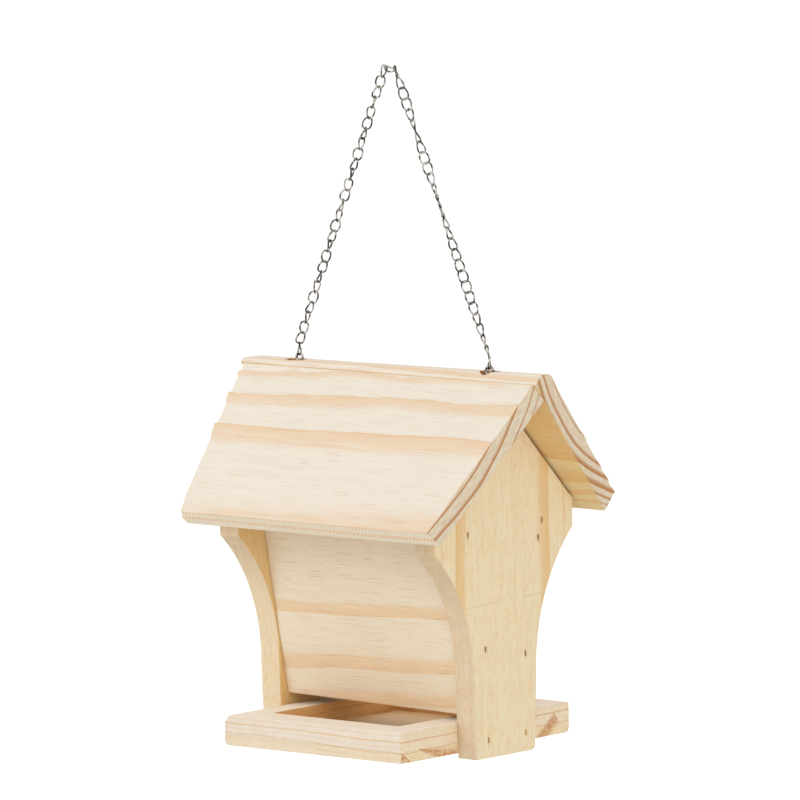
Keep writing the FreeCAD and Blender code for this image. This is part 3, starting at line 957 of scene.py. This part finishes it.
# %% [markdown]
# ## Twisted chain
#
# Each link of this chain is an oval of wire given part of a turn about its length, so that the links lie
# almost flat in one another instead of standing square. What repeats like this is made by Geometry Nodes: one
# link is bent from a circle, a line of points stands for the strand, and every point gets a link with its own
# roll. The roll changes from link to link by a step, which can change once along the strand, and it wanders a
# little, as in a chain that hangs slack enough to turn. Realize Instances makes it real mesh at the end, one
# object for each part that moves on its own.

# %% Geometry Nodes tree for a strand
chain_tree = bpy.data.node_groups.new("Twisted chain", "GeometryNodeTree")
for kind, labels in {
        "Int": ("Links",),
        "Float": ("Pitch", "Wire", "Width", "Length", "Twist", "First roll", "Roll step", "Wander", "Turning link",
                  "Later step"),
        "Rotation": ("Direction",), "Vector": ("Start",), "Material": ("Metal",)}.items():
    for label in labels:
        chain_tree.interface.new_socket(label, in_out="INPUT", socket_type="NodeSocket" + kind)
chain_tree.interface.new_socket("Geometry", in_out="OUTPUT", socket_type="NodeSocketGeometry")
given = named_outputs(chain_tree.nodes.new("NodeGroupInput"))


def geometry(kind, inputs=(), **settings):
    """Adds a Geometry Nodes node to the chain's tree and gives back its first output."""
    return result(chain_tree, "GeometryNode" + kind, inputs, **settings)


def combined(x, y, z):
    """A vector of three numbers."""
    return result(chain_tree, "ShaderNodeCombineXYZ", [x, y, z])


half_length = (given["Length"] - given["Wire"]) * 0.5
bend_radius = (given["Width"] - given["Wire"]) * 0.5
ring = geometry("CurvePrimitiveCircle", {"Resolution": 28, "Radius": 1.0}, mode="RADIUS")
across, up, _ = geometry("InputPosition").parts()
lift = result(chain_tree, "ShaderNodeClamp", [up * 1.9, -1.0, 1.0])         # parts the two bends of the oval
link_x = across * bend_radius
link_z = lift * (half_length - bend_radius) + up * bend_radius
turn = link_z / half_length * (given["Twist"] * 0.5)
bent = combined(link_x * turn.calc("COSINE"), link_x * turn.calc("SINE"), link_z)
oval = geometry("SetPosition", {"Geometry": ring, "Position": bent})
section = geometry("CurvePrimitiveCircle", {"Resolution": 9, "Radius": given["Wire"] * 0.5}, mode="RADIUS")
link = geometry("CurveToMesh", {"Curve": oval, "Profile Curve": section})

line = geometry("MeshLine", {"Count": given["Links"], "Offset": combined(0.0, 0.0, given["Pitch"])}, mode="OFFSET")
number = geometry("InputIndex")
loose = add(chain_tree, "FunctionNodeRandomValue", {"Min": -1.0, "Max": 1.0, "ID": number, "Seed": 4},
            data_type="FLOAT")
loose_turn = Output(next(socket for socket in loose.outputs if socket.identifier == "Value_001"))
past_turning = (number - given["Turning link"]).calc("MAXIMUM", 0.0)
roll = (number * given["Roll step"] + given["First roll"] + past_turning * (given["Later step"] - given["Roll step"])
        + loose_turn * given["Wander"])
links = geometry("InstanceOnPoints", {"Points": line, "Instance": link, "Rotation": combined(0.0, 0.0, roll)})
laid = geometry("Transform", {"Geometry": links, "Translation": given["Start"], "Rotation": given["Direction"]})
smooth = geometry("SetShadeSmooth", {"Geometry": geometry("RealizeInstances", [laid])})
metalled = geometry("SetMaterial", {"Geometry": smooth, "Material": given["Metal"]})
plug(metalled, chain_tree.nodes.new("NodeGroupOutput").inputs[0])
print("twisted chain:", len(chain_tree.nodes), "nodes")

# %% Strands, eye links and top link
link_low, link_high = box_of("eye_link_left")
link_wire, link_width, link_length = link_high - link_low
link_play = 0.1 * mm
drawn_shorter = 0.30 * mm               # how much shorter the twisted links are than the CAD ones
top_link_drop = 0.6 * mm                # keeps the turned top link inside its CAD box
upper_count = 18                        # links of a strand above its bend
link_pitch = link_length - 2 * link_wire - link_play
link_twist = math.radians(42)
hinge_of = {joint["name"]: Vector(joint["pos_m"]) for joint in frame["joints"] if "pos_m" in joint}


def chain_piece(name, node, body, values):
    """Runs the tree with its inputs set, and keeps the result as a plain mesh on a body."""
    piece = new_object(name, bpy.data.meshes.new(name))
    modifier = piece.modifiers.new("build", "NODES")
    modifier.node_group = chain_tree
    identifiers = {item.name: item.identifier for item in chain_tree.interface.items_tree if item.in_out == "INPUT"}
    sizes = {"Pitch": link_pitch, "Wire": link_wire, "Width": link_width, "Length": link_length - drawn_shorter,
             "Twist": link_twist, "Metal": chain_metal}
    for label, value in {**sizes, **values}.items():
        modifier[identifiers[label]] = value
    mesh = bpy.data.meshes.new_from_object(piece.evaluated_get(bpy.context.evaluated_depsgraph_get()))
    piece.modifiers.remove(modifier)
    piece.data = mesh
    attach(piece, body)
    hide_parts(node)
    print(name, len(mesh.polygons), "faces")


strand_rolls = {
    # side: (link at which the roll step changes, first link's roll, roll step, later step, wander), in degrees
    "left": (40, 66, -51.9, -51.9, 7),
    "right": (15.8, -46, 13, 32, 7),
}
for side, (turning_link, *degrees) in strand_rolls.items():
    first_roll, step, later_step, wander = map(math.radians, degrees)
    foot, bend = hinge_of[f"{side}_lower_swing"], hinge_of[f"{side}_upper_swing"]
    direction = (bend - foot).normalized()
    tilt = Euler((0, math.atan2(direction.x, direction.z), 0))
    first_middle = foot + direction * (link_pitch - (link_length - link_wire) / 2)
    lower_count = round((bend - foot).length / link_pitch)
    shared = {"Roll step": step, "Later step": later_step, "Wander": wander, "Direction": tilt}
    for part, done, count in (("lower", 0, lower_count), ("upper", lower_count, upper_count)):
        chain_piece(f"chain_{side}_{part}_links", f"chain_{side}_{part}", f"strand_{side}_{part}",
                    {**shared, "Links": count, "First roll": first_roll + done * step,
                     "Turning link": float(turning_link - done),
                     "Start": first_middle + direction * link_pitch * done})
    low, high = box_of(f"eye_link_{side}")
    chain_piece(f"eye_link_{side}_wire", f"eye_link_{side}", f"eye_link_{side}",
                {"Links": 1, "First roll": first_roll - step, "Start": (low + high) / 2})

low, high = box_of("top_link")
chain_piece("top_link_wire", "top_link", "top_link",
            {"Links": 1, "First roll": math.radians(52), "Direction": Euler((0, math.radians(90), 0)),
             "Start": (low + high) / 2 - Vector((0, 0, top_link_drop))})
